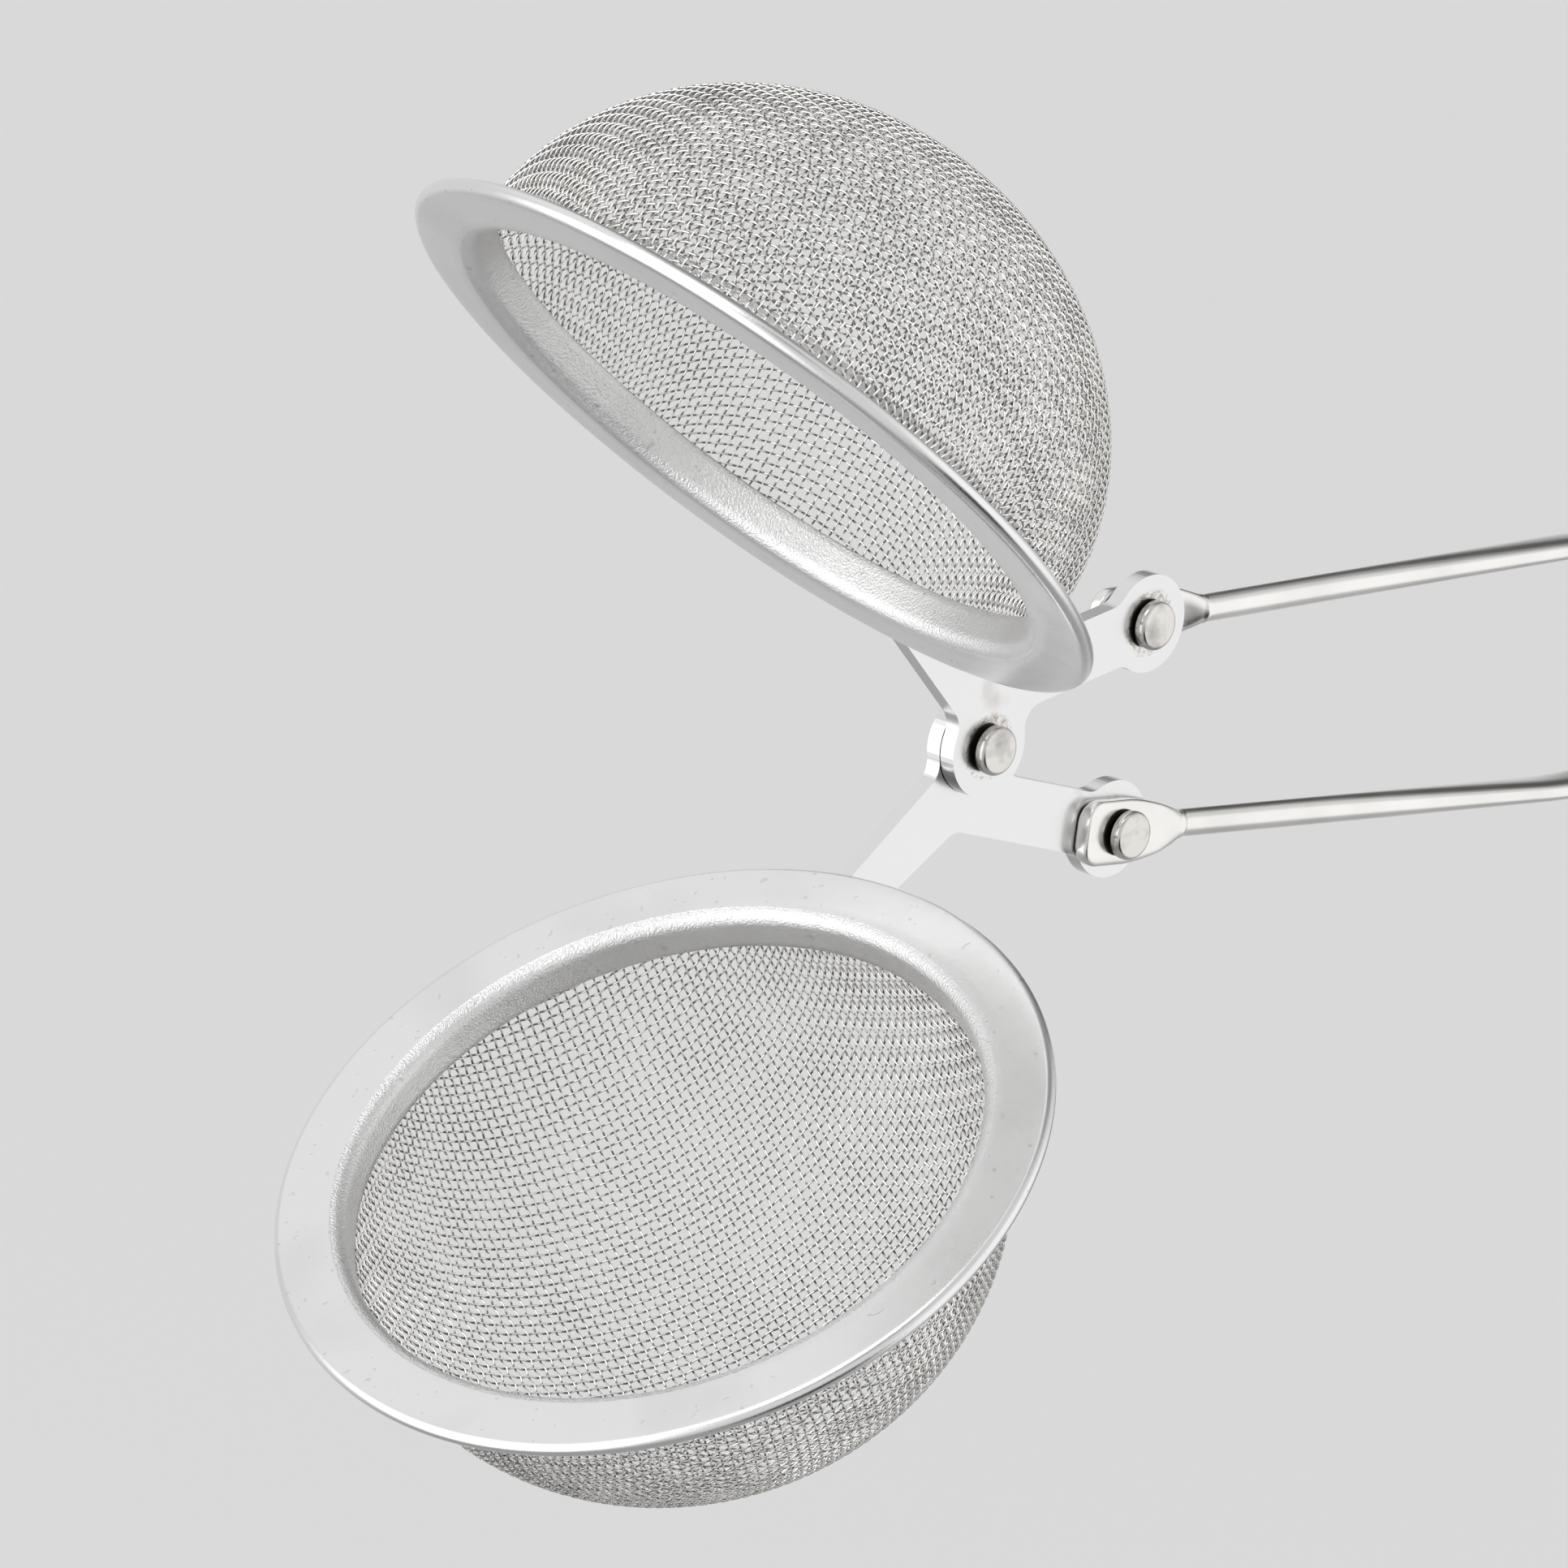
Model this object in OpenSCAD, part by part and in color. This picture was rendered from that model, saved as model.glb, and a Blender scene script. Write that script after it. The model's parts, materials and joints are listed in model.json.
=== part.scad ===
// Squeeze-handle mesh tea ball, shown with its two halves held open.
// The origin is the grip point under the lower handle arm.
// +X runs along the handle away from the ball, +Z is up, and Y is the rivets' axis.

/* [Ball] */
// Outer radius of each rim
rim_r = 30; // [27:0.5:33]
// Width of the flange, from its outer edge to the collar's inner face
flange_w = 5.5; // [4.5:0.1:6]
// Thickness of the rim's sheet
sheet_t = 0.5; // [0.4:0.05:0.7]
// Diameter of the rolled outer edge
roll_d = 1.3; // [1.1:0.1:1.6]
// Depth of the collar that the mesh is fixed to
collar_h = 3.4; // [3:0.1:4]
// Largest outer radius of the mesh dome
dome_r = 25.6; // [25.4:0.1:26.2]
// Height of the dome's curved part
dome_h = 22.9; // [18:0.1:26]
// Thickness of the woven mesh, wire over wire
mesh_t = 0.4; // [0.3:0.05:0.6]
// Distance from the central pivot to the ball's centre
ball_reach = 44.6; // [44:0.2:50]
// Sideways offset of the ball's centre from the linkage
ball_offset = 6.6; // [0:0.2:7]
// Cant of the mating plane about the handle's direction
ball_cant = 4.25; // [0:0.25:5]
// Tilt of the mating plane against the handle's axis
ball_skew = 1.8; // [0:0.1:2]

/* [Linkage] */
// Half of the angle between the two open halves
open_half = 36.6; // [20:0.2:40]
// Distance from the central pivot to an arm rivet
lever_reach = 18.5; // [17:0.1:20]
// Angle of the arm rivet above the mating plane
lever_angle = 63.5; // [60:0.5:68]
// Thickness of a bracket's plate
plate_t = 1.35; // [1:0.05:1.5]
// Radius of the rounded ends round the rivets
lobe_r = 3.9; // [3.5:0.1:4.5]
// Width of the bracket's arm
arm_w = 5; // [4:0.1:5.5]
// Width of the bracket's leg, which carries the rim
leg_w = 4; // [3:0.1:5]

/* [Rivets] */
// Radius of a rivet's head
head_r = 1.95; // [1.8:0.05:2.2]
// Radius of a rivet's shank
shank_r = 0.95; // [0.8:0.05:1]
// Radial running clearance round a shank
run_gap = 0.07; // [0.05:0.01:0.1]
// Free travel of the upper rivet in its long eye, each way
eye_play = 1; // [0.95:0.05:1.1]

/* [Handle] */
// Distance from the central pivot to the centre of the spring's bend
bend_x = 108; // [100:1:120]
// Centreline radius of the bend
bend_r = 6.5; // [5:0.5:8]
// Diameter of the round wire next to the eyes
wire_d = 2.2; // [2:0.1:2.5]
// Width of the flattened wire at the bend
strip_w = 6; // [4:0.5:7]
// Thickness of the flattened wire at the bend
strip_t = 1.3; // [1.2:0.1:1.6]
// Angle at which each arm leaves its rivet, away from the other
splay = 2; // [0:0.5:4]
// Height of a flattened eye
eye_h = 5.2; // [5:0.1:5.6]

/* [Hidden] */

// Round bores and pins; smaller rounded shapes; large turned shapes
fine_fn = 64;
small_fn = 28;
dome_fn = 96;

// Half of the gap between plates that slide past each other
layer_gap = 0.05;
// Gap from each rim to the mating plane, and its sheet's far face
rim_gap = 0.12;
rim_back = rim_gap + sheet_t;
// Radii of the collar's two faces
collar_in_r = rim_r - flange_w;
collar_out_r = collar_in_r + sheet_t;
// Outer radius of the bend between the flange and the collar
bend_out_r = 1.1;
// Gap between the mesh and the collar, and between a bracket and the rolled edge
fit_gap = 0.04;
// Level where the dome's straight foot ends and its curve begins
foot_z = 3.2;
// Centre of the rolled edge in the rim's section, and how far round the roll goes
roll_c = [rim_r - roll_d / 2, rim_gap + roll_d / 2];
roll_end = 150;

// Arm rivet in a bracket's closed frame, and in the handle's frame
rivet_closed = lever_reach * [cos(lever_angle), sin(lever_angle)];
rivet_turn = lever_angle - open_half;
rivet_open = lever_reach * [cos(rivet_turn), sin(rivet_turn)];
// Corner where a bracket's arm meets its leg
elbow = [-3.3, 2.9];
arm_dir = atan2(rivet_closed[1] - elbow[1], rivet_closed[0] - elbow[0]);
// Fillet in the bracket's inner corners
plate_fillet = 1.8;

// Eyes: reach past the rivet, and where the flat ends and the round wire starts
eye_reach = 4.2;
eye_flat = 4.4;
wire_start = 6.2;
eye_t = 1.3;
// Handle arm: the splayed stretch ends here, and the wire starts to flatten here
spread_x = 66;
flatten_x = 34;
// Twist of each arm's flattened stretch, greatest half way along
arm_twist = 10;
// Rings in each arm and in the bend, and sides of the wire's section
arm_rings = 30;
bend_rings = 14;
wire_sides = 16;
// Rise of the arm's centreline where the splayed stretch ends
spread_z = rivet_open[1] + (spread_x - rivet_open[0]) * tan(splay);
// Grip point: its place along the handle
grip_x = 70;

// ---------- Places ----------

// From the central pivot's frame to the frame of the whole object
module in_hand() {
    translate([-grip_x, 0, arm_z(grip_x) + strip_half_t(grip_x)]) children();
}

// A half of the ball: side is 1 for the upper half and -1 for the lower
module ball_half(side) {
    in_hand() rotate([0, side * open_half + ball_skew, 0]) rotate([ball_cant, 0, 0])
        translate([-ball_reach, -ball_offset, 0]) mirror([0, 0, side > 0 ? 0 : 1]) children();
}

// A bracket's closed frame, turned open
module lever(side) {
    in_hand() rotate([0, side * open_half, 0]) mirror([0, 0, side > 0 ? 0 : 1]) children();
}

// A plate drawn in X and Z, from y0 towards -Y
module plate(y0, thickness) {
    translate([0, y0, 0]) rotate([90, 0, 0]) linear_extrude(thickness) children();
}

// A round bar along Y
module cross_bar(r, y0, y1) {
    translate([0, y1, 0]) rotate([90, 0, 0]) cylinder(r = r, h = y1 - y0, $fn = fine_fn);
}

// ---------- Ball ----------

// Quarter circle about [cx, cy] from angle a0 to a1
function arc(cx, cy, r, a0, a1, steps = 8) =
    [for (i = [0:steps]) let (a = a0 + (a1 - a0) * i / steps) [cx + r * cos(a), cy + r * sin(a)]];

// Ellipse of the dome, from its foot to its pole, shrunk by inset
function dome_line(inset) =
    [for (i = [0:24]) let (a = 90 * i / 24)
        [max(0, (dome_r - inset) * cos(a)), foot_z + (dome_h - inset) * sin(a)]];

function reversed(list) = [for (i = [len(list) - 1:-1:0]) list[i]];

module mesh_dome() {
    foot_in_r = collar_out_r + fit_gap;
    foot_low = rim_gap + bend_out_r;
    outline = concat(
        [[foot_in_r, foot_low], [foot_in_r + mesh_t, foot_low]],
        dome_line(0), reversed(dome_line(mesh_t)));
    color("silver") rotate_extrude($fn = dome_fn) polygon(outline);
}

// One sheet: rolled edge, flat flange, rounded bend and collar
module rim() {
    bend_c = [collar_in_r + bend_out_r, rim_gap + bend_out_r];
    outline = concat(
        [[collar_out_r, collar_h], [collar_in_r, collar_h]],
        arc(bend_c[0], bend_c[1], bend_out_r, 180, 270),
        arc(roll_c[0], roll_c[1], roll_d / 2, -90, roll_end, 14),
        [[rim_r - roll_d, rim_back]],
        arc(bend_c[0], bend_c[1], bend_out_r - sheet_t, 270, 180));
    color("gainsboro") rotate_extrude($fn = dome_fn) polygon(outline);
}

// What a bracket's leg is cut back by: the rolled edge, the flange's back and all below them
module rim_seat() {
    outline = concat(
        [[0, -1], [rim_r + fit_gap, -1]],
        arc(roll_c[0], roll_c[1], roll_d / 2 + fit_gap, 0, roll_end, 10),
        [[rim_r - roll_d - fit_gap, rim_back], [0, rim_back]]);
    rotate_extrude($fn = dome_fn) polygon(outline);
}

module upper_mesh() { ball_half(1) mesh_dome(); }
module lower_mesh() { ball_half(-1) mesh_dome(); }
module upper_rim() { ball_half(1) rim(); }
module lower_rim() { ball_half(-1) rim(); }

// ---------- Brackets ----------

module bracket_shape(side) {
    leg_tip = -17.2;
    leg_low = elbow[1] - leg_w / 2;
    offset(r = -plate_fillet, $fn = fine_fn) offset(delta = plate_fillet) union() {
        circle(r = lobe_r, $fn = fine_fn);
        translate(rivet_closed) circle(r = lobe_r, $fn = fine_fn);
        translate(elbow) rotate(arm_dir)
            translate([-1, -arm_w / 2]) square([norm(rivet_closed - elbow), arm_w]);
        // Leg, turned with the ball's tilt, and the web that joins it to the pivot
        rotate(-side * ball_skew)
            polygon([[leg_tip, leg_low], [-3.8, -0.3], [1.5, 2.5], [elbow[0], elbow[1] + leg_w / 2],
                     [leg_tip + 0.9, elbow[1] + leg_w / 2]]);
    }
}

// A bracket that lies from y0 towards -Y, with the radius of each of its two bores
module bracket(side, y0, pivot_bore, arm_bore) {
    difference() {
        lever(side) difference() {
            plate(y0, plate_t) bracket_shape(side);
            cross_bar(pivot_bore, y0 - plate_t - 1, y0 + 1);
            translate([rivet_closed[0], 0, rivet_closed[1]])
                cross_bar(arm_bore, y0 - plate_t - 1, y0 + 1);
        }
        ball_half(side) rim_seat();
    }
}

module upper_bracket() {
    color("lightgray") bracket(1, -layer_gap, shank_r + run_gap, shank_r);
}

module lower_bracket() {
    color("lightgray") bracket(-1, layer_gap + plate_t, shank_r, shank_r + run_gap);
}

// ---------- Rivets ----------

// A rivet along Y: the head's underside at head_y, the tail's at tail_y
module rivet(head_y, tail_y) {
    head_t = 1;
    round_r = 0.4;
    neck_r = 1.3;
    neck_t = 0.15;
    tail_r = 1.8;
    tail_t = 0.7;
    outline = concat(
        [[0, -head_t]],
        arc(head_r - round_r, round_r - head_t, round_r, -90, 0, 6),
        [[head_r, -0.1], [head_r - 0.1, 0], [neck_r, 0], [neck_r, neck_t], [shank_r, neck_t],
         [shank_r, tail_y - head_y], [tail_r, tail_y - head_y]],
        arc(tail_r - round_r, tail_y - head_y + tail_t - round_r, round_r, 0, 90, 6),
        [[0, tail_y - head_y + tail_t]]);
    color("darkgray") translate([0, head_y, 0]) rotate([-90, 0, 0])
        rotate_extrude($fn = fine_fn) polygon(outline);
}

// Outer faces of the front and the back layer
front_y = -layer_gap - plate_t;
back_y = layer_gap + plate_t;
// A head stands off its plate by this much
head_gap = 0.25;

module pivot_rivet() {
    in_hand() rivet(front_y - head_gap, back_y);
}

module upper_arm_rivet() {
    in_hand() translate([rivet_open[0], 0, rivet_open[1]]) rivet(front_y - head_gap, back_y + 0.1);
}

module lower_arm_rivet() {
    in_hand() translate([rivet_open[0], 0, -rivet_open[1]]) rivet(front_y - head_gap, back_y + 0.1);
}

// ---------- Handle ----------

function ease(t) = t <= 0 ? 0 : t >= 1 ? 1 : t * t * (3 - 2 * t);

// Height of an arm's centreline above the handle's axis
function arm_z(x) =
    x < spread_x ? rivet_open[1] + (x - rivet_open[0]) * tan(splay) :
    let (u = (x - spread_x) / (bend_x - spread_x), run = (bend_x - spread_x) * tan(splay))
        spread_z * (2 * u * u * u - 3 * u * u + 1) + run * (u * u * u - 2 * u * u + u)
            + bend_r * (3 * u * u - 2 * u * u * u);

// Half of the wire's width and thickness at x
function flat_part(x) = ease((x - flatten_x) / (bend_x - 8 - flatten_x));
function strip_half_w(x) = (wire_d + (strip_w - wire_d) * flat_part(x)) / 2;
function strip_half_t(x) = (wire_d + (strip_t - wire_d) * flat_part(x)) / 2;
function twist_at(x) = arm_twist * sin(180 * flat_part(x));

// Rounded section: square is 2 for an ellipse and larger for a strip with flat faces
function section(half_w, half_t, twist, square) =
    [for (i = [0:wire_sides - 1])
        let (a = 360 * i / wire_sides,
             y = half_w * sign(cos(a)) * pow(abs(cos(a)), 2 / square),
             n = half_t * sign(sin(a)) * pow(abs(sin(a)), 2 / square))
        [y * cos(twist) - n * sin(twist), y * sin(twist) + n * cos(twist)]];

// A ring of points across the path: pitch is the path's slope in the XZ plane
function ring(x, z, pitch, shape) =
    [for (p = shape) [x - p[1] * sin(pitch), p[0], z + p[1] * cos(pitch)]];

module sweep(rings) {
    sides = len(rings[0]);
    last = len(rings) - 1;
    points = [for (r = rings) each r];
    walls = [for (i = [0:last - 1], j = [0:sides - 1])
        let (k = (j + 1) % sides) each
            [[i * sides + j, (i + 1) * sides + j, (i + 1) * sides + k],
             [i * sides + j, (i + 1) * sides + k, i * sides + k]]];
    caps = [[for (j = [0:sides - 1]) j], [for (j = [sides - 1:-1:0]) last * sides + j]];
    polyhedron(points, concat(walls, caps));
}

function arm_ring(x, side) =
    let (square = 2 + 1.5 * flat_part(x), step = 0.01,
         pitch = atan((arm_z(x + step) - arm_z(x - step)) / (2 * step)))
    ring(x, side * arm_z(x), side * pitch,
         section(strip_half_w(x), strip_half_t(x), side * twist_at(x), square));

// Flattened eye round a rivet; play makes its hole a slot across the handle
module eye(side, y0, hole_r, play) {
    corner = 1.2;
    translate([rivet_open[0], 0, side * rivet_open[1]]) rotate([0, -side * splay, 0]) {
        difference() {
            plate(y0, eye_t) hull() {
                for (s = [-1, 1])
                    translate([corner - eye_reach, s * (eye_h / 2 - corner)]) circle(r = corner, $fn = small_fn);
                translate([0.6, 0]) circle(d = eye_h, $fn = small_fn);
                translate([eye_flat, 0]) circle(r = 1.5, $fn = small_fn);
            }
            for (s = play > 0 ? [-1, 1] : [0])
                translate([0, 0, s * play]) cross_bar(hole_r, y0 - 2, y0 + 1);
            if (play > 0)
                translate([-hole_r, y0 - 2, -play]) cube([2 * hole_r, 3, 2 * play]);
        }
        // Neck from the flat eye to the round wire
        hull() {
            translate([eye_flat - 0.1, y0 - eye_t, -1.4]) cube([0.1, eye_t, 2.8]);
            translate([wire_start - 0.6, 0, 0]) rotate([0, 90, 0])
                cylinder(d = wire_d, h = 1.2, $fn = small_fn);
        }
    }
}

module handle_arm(side, y0, hole_r, play) {
    start = rivet_open[0] + wire_start;
    color("silver") in_hand() {
        eye(side, y0, hole_r, play);
        sweep([for (i = [0:arm_rings]) arm_ring(start + (bend_x - start) * i / arm_rings, side)]);
    }
}

module handle_upper_arm() {
    handle_arm(1, layer_gap + eye_t, shank_r + run_gap, eye_play);
}

module handle_lower_arm() {
    handle_arm(-1, -layer_gap, shank_r, 0);
}

module handle_bend() {
    color("silver") in_hand()
        sweep([for (i = [0:bend_rings]) let (a = -90 + 180 * i / bend_rings)
            ring(bend_x + bend_r * cos(a), bend_r * sin(a), a + 90,
                 section(strip_half_w(bend_x), strip_half_t(bend_x), 0, 3.5))]);
}

upper_mesh();
upper_rim();
upper_bracket();
upper_arm_rivet();
lower_mesh();
lower_rim();
lower_bracket();
pivot_rivet();
handle_lower_arm();
handle_bend();
handle_upper_arm();
lower_arm_rivet();
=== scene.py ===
import json
import math

import bmesh
import bpy
import numpy as np
from mathutils import Matrix, Vector


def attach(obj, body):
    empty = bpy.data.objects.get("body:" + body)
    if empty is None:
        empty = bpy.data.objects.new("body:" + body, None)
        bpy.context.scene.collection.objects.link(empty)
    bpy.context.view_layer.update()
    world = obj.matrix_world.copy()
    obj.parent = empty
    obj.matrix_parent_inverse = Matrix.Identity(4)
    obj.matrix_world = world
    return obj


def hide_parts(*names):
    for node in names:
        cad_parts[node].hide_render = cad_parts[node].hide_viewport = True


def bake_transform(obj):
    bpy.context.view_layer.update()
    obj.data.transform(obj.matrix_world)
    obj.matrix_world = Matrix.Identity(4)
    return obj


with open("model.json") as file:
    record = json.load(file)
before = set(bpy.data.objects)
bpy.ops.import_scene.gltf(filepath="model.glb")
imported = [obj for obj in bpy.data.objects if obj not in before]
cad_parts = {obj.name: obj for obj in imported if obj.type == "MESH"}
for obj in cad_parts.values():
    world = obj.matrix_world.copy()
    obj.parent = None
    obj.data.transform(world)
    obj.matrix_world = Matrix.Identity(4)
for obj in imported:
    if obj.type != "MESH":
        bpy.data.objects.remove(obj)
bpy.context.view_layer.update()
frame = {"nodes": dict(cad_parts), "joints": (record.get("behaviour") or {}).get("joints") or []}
SCENE = bpy.context.scene

# ---------------------------------------------------------------- sizes, in millimetres and degrees
MM = 0.001

# Rims and domes; a half's own frame has its mouth at z = 0
RIM_R = 30.0
FLANGE_W = 5.5
SHEET_T = 0.5
ROLL_D = 1.3
RIM_GAP = 0.12
COLLAR_H = 3.4
DOME_R = 25.6
DOME_H = 22.9
DOME_Z = 3.2
RIM_STEPS = 256

# A half's place: from the pivot to its centre, then how it is tilted
BALL_REACH = 44.6
BALL_OFFSET = 6.6
BALL_CANT = 4.25
BALL_SKEW = 1.8
OPEN_HALF = 36.6

# Weave; CREST is how far past a crossing, as a share of the pitch, a wire stays at full height
WEAVE_PITCH = 0.82
WIRE_R = 0.085
WEAVE_SIDES = 6
CREST = 0.25
MESH_CLEARANCE = 0.04
FOOT_GAP = 0.22
MESH_TURN = {1: 29, -1: 64}

# Brackets and rivets; the gaps are between a plate and the next plate, and a head
PLATE_T = 1.35
PLATE_EDGE = 0.3
LAYER_GAP = 0.05
HEAD_R = 1.95
HEAD_T = 1.0
SHANK_R = 0.95
HEAD_GAP = 0.25
ARM_HEAD_GAP = HEAD_GAP - 0.12
RIVET_STEPS = 72

# Handle: a round wire that flattens into a strip from FLATTEN_X to the bend
WIRE_D = 2.2
STRIP_W = 6.0
STRIP_T = 1.3
BEND_R = 6.5
SPLAY = 2.0
SPREAD_X = 66.0
FLATTEN_X = 34.0
FLATTEN_END = 8
ARM_TWIST = -4.0
HANDLE_SIDES = 40
ARM_STEPS = 64
BEND_STEPS = 28

# Eyes, measured from their rivets; EYE_PLAY is the half length of the upper eye's slot
EYE_H = 5.2
EYE_T = 1.3
EYE_REACH = 4.2
EYE_STEP = 0.14
WIRE_START = 8.1
EYE_PLAY = 1.0
RUN_GAP = 0.07
FIXED_GAP = 0.02

# ---------------------------------------------------------------- places, from the frame
JOINTS = {joint["name"]: joint for joint in frame["joints"]}
PIVOT = Vector(JOINTS["ball_hinge"]["pos_m"])
LOWER_EYE = Vector(JOINTS["lower_arm_pivot"]["pos_m"])
BEND = Vector(JOINTS["handle_bend"]["pos_m"])
EYE_X = (LOWER_EYE.x - PIVOT.x) / MM
EYE_Z = (PIVOT.z - LOWER_EYE.z) / MM
BEND_X = (BEND.x - PIVOT.x) / MM
UPPER_EYE = PIVOT + MM * Vector((EYE_X, 0, EYE_Z))


def turn(axis, degrees):
    """Rotation matrix about one axis."""
    return Matrix.Rotation(math.radians(degrees), 4, axis)


def ease(t):
    """0 to 1 as t goes from 0 to 1, level at both ends."""
    t = min(1.0, max(0.0, t))
    return t * t * (3 - 2 * t)


def half_place(side):
    """A ball half's own frame (mouth at z = 0, dome up) to the object's frame."""
    mirror = Matrix.Diagonal((1, 1, side, 1))
    opened = turn("Y", side * OPEN_HALF + BALL_SKEW) @ turn("X", BALL_CANT)
    return (
        Matrix.Translation(PIVOT)
        @ opened
        @ Matrix.Translation((-BALL_REACH * MM, -BALL_OFFSET * MM, 0))
        @ mirror
        @ Matrix.Scale(MM, 4)
    )


# ---------------------------------------------------------------- mesh helpers
def add_mesh(name, points, faces, place, material, smooth=True):
    """Makes an object from points in millimetres; a mirrored place gets its faces turned over."""
    world = [place @ Vector(p) for p in points]
    if place.determinant() < 0:
        faces = [tuple(reversed(f)) for f in faces]
    mesh = bpy.data.meshes.new(name)
    mesh.from_pydata(world, [], faces)
    mesh.validate()
    mesh.polygons.foreach_set("use_smooth", [smooth] * len(mesh.polygons))
    mesh.materials.append(material)
    obj = bpy.data.objects.new(name, mesh)
    SCENE.collection.objects.link(obj)
    return obj


def revolve(profile, steps, closed=False, wobble=None):
    """Turns a profile of (r, z) about Z. wobble(angle, r, z) gives a small change of r and z."""
    points, faces = [], []
    count = len(profile)
    for i in range(steps):
        a = 2 * math.pi * i / steps
        for r, z in profile:
            dr, dz = wobble(a, r, z) if wobble else (0, 0)
            points.append(((r + dr) * math.cos(a), (r + dr) * math.sin(a), z + dz))
    for i in range(steps):
        k = (i + 1) % steps
        for j in range(count if closed else count - 1):
            m = (j + 1) % count
            faces.append((i * count + j, k * count + j, k * count + m, i * count + m))
    return points, faces


def arc(cx, cy, r, a0, a1, steps):
    """Points on a circle's arc from a0 to a1 degrees, both ends included."""
    angles = [math.radians(a0 + (a1 - a0) * i / steps) for i in range(steps + 1)]
    return [(cx + r * math.cos(a), cy + r * math.sin(a)) for a in angles]


def ring_faces(rings, sides):
    """Faces of a tube through rings of points, closed at both ends."""
    faces = []
    for i in range(rings - 1):
        for j in range(sides):
            k = (j + 1) % sides
            faces.append((i * sides + j, (i + 1) * sides + j, (i + 1) * sides + k, i * sides + k))
    faces.append(tuple(range(sides)))
    faces.append(tuple((rings - 1) * sides + j for j in reversed(range(sides))))
    return faces


# ---------------------------------------------------------------- materials
class Nodes:
    """A material's node tree, with short calls for the nodes used here."""

    def __init__(self, name):
        self.material = bpy.data.materials.new(name)
        self.material.use_nodes = True
        self.tree = self.material.node_tree
        self.shader = self.tree.nodes["Principled BSDF"]

    def add(self, kind, values=None, **props):
        node = self.tree.nodes.new("ShaderNode" + kind)
        for key, value in props.items():
            setattr(node, key, value)
        for key, value in (values or {}).items():
            node.inputs[key].default_value = value
        return node

    def link(self, out, to):
        self.tree.links.new(out, to)

    def coords(self, scale=(1, 1, 1)):
        mapping = self.add("Mapping", {"Scale": scale})
        self.link(self.add("TexCoord").outputs["Object"], mapping.inputs["Vector"])
        return mapping.outputs["Vector"]

    def noise(self, vector, scale, detail, roughness):
        node = self.add("TexNoise", {"Scale": scale, "Detail": detail, "Roughness": roughness})
        self.link(vector, node.inputs["Vector"])
        return node.outputs["Fac"]

    def ramp(self, value, low, high, a, b):
        """Value from low to high mapped to a to b, clamped."""
        node = self.add("MapRange", {"From Min": low, "From Max": high, "To Min": a, "To Max": b})
        self.link(value, node.inputs["Value"])
        return node.outputs["Result"]

    def math(self, operation, a, b):
        node = self.add("Math", operation=operation)
        for socket, value in zip(node.inputs, (a, b)):
            if isinstance(value, (int, float)):
                socket.default_value = value
            else:
                self.link(value, socket)
        return node.outputs[0]

    def colours(self, value, dark, light, low, high):
        """Base colour from dark to light as value goes from low to high."""
        node = self.add("ValToRGB")
        node.color_ramp.elements[0].position = low
        node.color_ramp.elements[0].color = (*dark, 1)
        node.color_ramp.elements[1].position = high
        node.color_ramp.elements[1].color = (*light, 1)
        self.link(value, node.inputs["Fac"])
        self.link(node.outputs["Color"], self.shader.inputs["Base Color"])

    def bump(self, height, strength, distance):
        node = self.add("Bump", {"Strength": strength, "Distance": distance})
        self.link(height, node.inputs["Height"])
        self.link(node.outputs["Normal"], self.shader.inputs["Normal"])

    def attribute(self, name):
        """A value that the mesh stores at its points."""
        node = self.add("Attribute")
        node.attribute_name = name
        return node.outputs["Fac"]

    def ring(self, centre, radius, width):
        """1 on a ring round an axis along Y, fading to 0 over width on both sides."""
        place = self.add("Mapping", {"Location": (-centre.x, 0, -centre.z), "Scale": (1, 0, 1)})
        self.link(self.add("TexCoord").outputs["Object"], place.inputs["Vector"])
        reach = self.add("VectorMath", operation="LENGTH")
        self.link(place.outputs["Vector"], reach.inputs[0])
        off = self.math("ABSOLUTE", self.math("SUBTRACT", reach.outputs["Value"], radius), 0)
        return self.ramp(off, 0, width, 1, 0)

    def steel(self):
        self.shader.inputs["Metallic"].default_value = 1
        return self


def satin_rim():
    """Pressed sheet: fine sanded grain, a frosted bend and collar, small specks and scratches."""
    n = Nodes("satin_rim").steel()
    fine = n.noise(n.coords(), 9000, 3, 0.7)
    frost = n.noise(n.coords(), 5200, 2, 0.7)
    cloud = n.noise(n.coords(), 120, 2, 0.4)
    scratch = n.noise(n.coords((1, 14, 5)), 420, 2, 0.4)
    specks = n.ramp(n.noise(n.coords(), 1700, 1, 0.3), 0.72, 0.76, 0, 1)
    strained = n.attribute("strained")
    tone = n.math("SUBTRACT", cloud, n.math("MULTIPLY", specks, 0.6))
    n.colours(tone, (0.74, 0.74, 0.74), (0.86, 0.86, 0.86), -0.1, 0.5)
    n.link(n.ramp(fine, 0.3, 0.7, 0.17, 0.26), n.shader.inputs["Roughness"])
    grain = n.math("ADD", n.math("MULTIPLY", fine, 0.35), n.math("MULTIPLY", scratch, 0.2))
    frosted = n.math("MULTIPLY", n.math("MULTIPLY", strained, frost), 5)
    n.bump(n.math("ADD", grain, frosted), 0.4, 0.06 * MM)
    return n.material


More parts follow.
